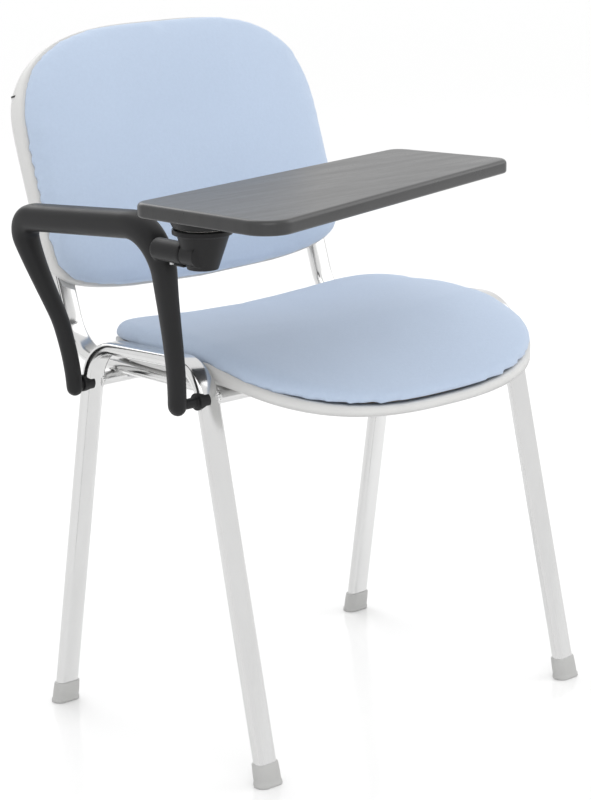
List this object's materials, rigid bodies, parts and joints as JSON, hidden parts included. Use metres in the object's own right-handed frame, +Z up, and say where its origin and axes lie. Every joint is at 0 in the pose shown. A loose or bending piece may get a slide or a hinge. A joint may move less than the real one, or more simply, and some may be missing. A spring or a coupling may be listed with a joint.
{
  "type": "student desk chair",
  "caption": "Stacking chair with oval-tube frame, upholstered seat and back, and a folding writing tablet on one arm loop.",
  "frame": {"origin": "on the floor, below the middle of the chair's bounding box", "axes": "+Z up; the sitter faces -Y; the arm and its tablet joint are at -X, the sitter's right"},
  "size_m": [0.6499, 0.6362, 0.8211],
  "materials": {
    "frame_chrome": "polished chrome plate on oval steel tube",
    "cover_fabric": "pale blue woven upholstery cloth over foam",
    "shell_plastic": "light grey moulded shell, fine texture",
    "foot_plastic": "grey moulded foot",
    "arm_plastic": "black glass-filled nylon, fine spark texture",
    "tablet_plastic": "black moulded tablet, faintly grained top",
    "plywood": "bare moulded plywood",
    "nylon": "natural nylon",
    "fixing_steel": "zinc-plated steel"
  },
  "bodies": {
    "chair": {"side_frame_right": "frame_chrome", "side_frame_left": "frame_chrome", "front_cross_tube": "frame_chrome", "rear_cross_tube": "frame_chrome", "back_upright_right": "frame_chrome", "back_upright_left": "frame_chrome", "upright_plugs": "arm_plastic", "foot_front_right": "foot_plastic", "foot_front_left": "foot_plastic", "foot_rear_right": "foot_plastic", "foot_rear_left": "foot_plastic", "seat_shell": "shell_plastic", "seat_board": "plywood", "seat_pad": "cover_fabric", "seat_screws": "fixing_steel", "seat_tee_nuts": "fixing_steel", "back_shell": "shell_plastic", "back_board": "plywood", "back_pad": "cover_fabric", "back_screws": "fixing_steel", "back_tee_nuts": "fixing_steel", "arm_loop": "arm_plastic", "arm_spacers": "arm_plastic", "arm_studs": "fixing_steel", "arm_nuts": "fixing_steel", "shaft_bush": "nylon", "shaft_set_screw": "fixing_steel", "stop_plate": "arm_plastic"},
    "swivel_knuckle": {"knuckle": "arm_plastic", "flip_shaft": "fixing_steel"},
    "writing_tablet": {"tablet": "tablet_plastic", "tablet_hub": "arm_plastic", "tablet_screws": "fixing_steel", "swivel_screw": "fixing_steel", "swivel_washer": "fixing_steel", "friction_disc": "nylon"}
  },
  "joints": [
    {"name": "tablet_flip", "type": "hinge", "parent": "chair", "child": "swivel_knuckle", "pos_m": [-0.27511, -0.14979, 0.6185], "axis": [0, -1, 0], "range_deg": [0, 90]},
    {"name": "tablet_swivel", "type": "hinge", "parent": "swivel_knuckle", "child": "writing_tablet", "pos_m": [-0.26011, -0.15939, 0.6495], "axis": [0, 0, 1], "range_deg": [-180, 0]}
  ]
}
